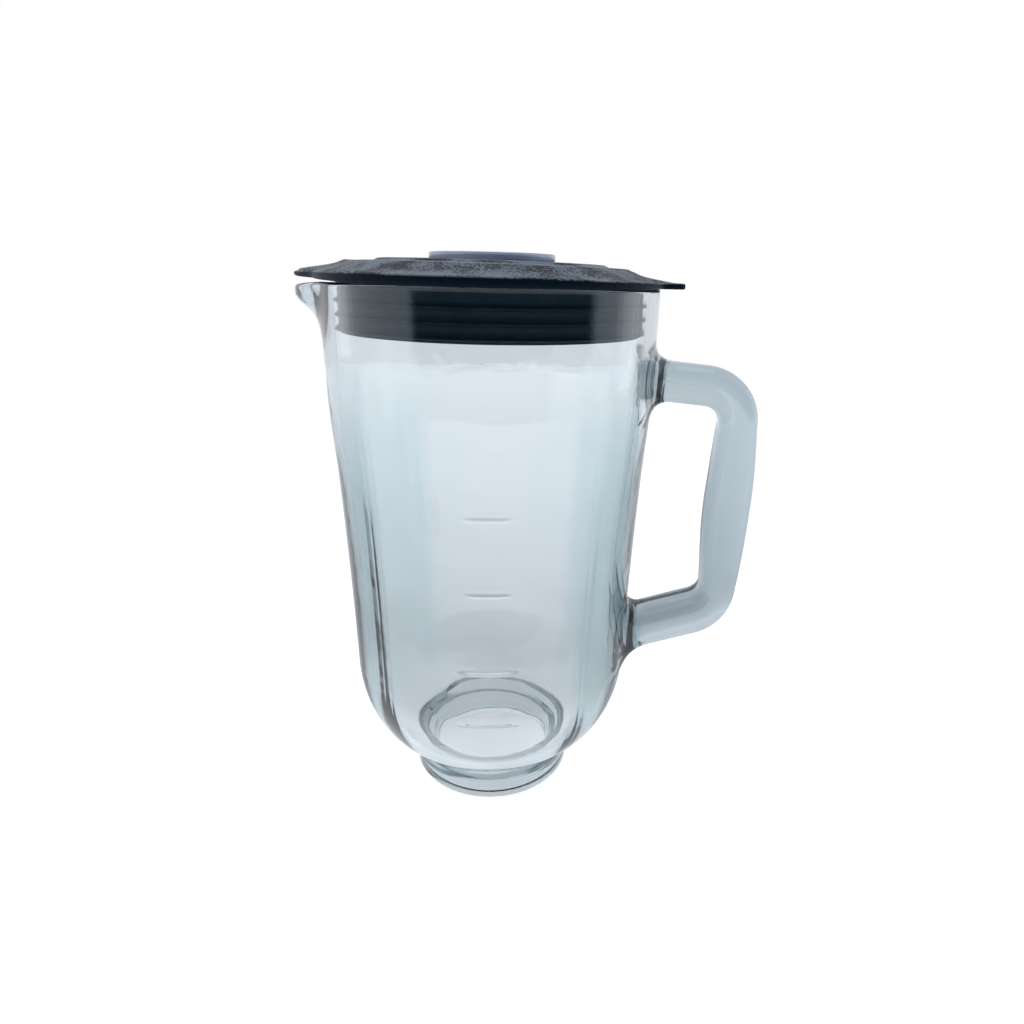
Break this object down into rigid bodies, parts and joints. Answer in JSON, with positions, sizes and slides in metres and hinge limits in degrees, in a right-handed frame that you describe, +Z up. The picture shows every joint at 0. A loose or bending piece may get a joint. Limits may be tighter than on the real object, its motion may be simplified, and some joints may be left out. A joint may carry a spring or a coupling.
{
  "type": "blender jar",
  "caption": "Glass blender jar with an integral handle, pouring spout and threaded neck, closed by a sealed lid with a clear filler cap.",
  "frame": {"origin": "centre of the neck's bottom face, on the jar's axis", "axes": "+Z up along the jar's axis, +X towards the handle, -X towards the spout, -Y towards the measuring lines"},
  "size_m": [0.18, 0.127, 0.22],
  "materials": {
    "glass": "clear pressed glass, faint blue-green in the thick parts",
    "lid_plastic": "moulded plastic, finely mottled on the raised middle",
    "seal_rubber": "soft black rubber, slightly glossy",
    "cap_plastic": "clear plastic with a faint violet tint"
  },
  "bodies": {
    "jar": {"jar": "glass"},
    "lid": {"lid": "lid_plastic", "lid_seal": "seal_rubber"},
    "cap": {"filler_cap": "cap_plastic"}
  },
  "joints": [
    {"name": "lid_lift", "type": "slide", "parent": "jar", "child": "lid", "axis": [0, 0, 1], "range_m": [0, 0.04]},
    {"name": "cap_lift", "type": "slide", "parent": "lid", "child": "cap", "axis": [0, 0, 1], "range_m": [0, 0.04]}
  ]
}
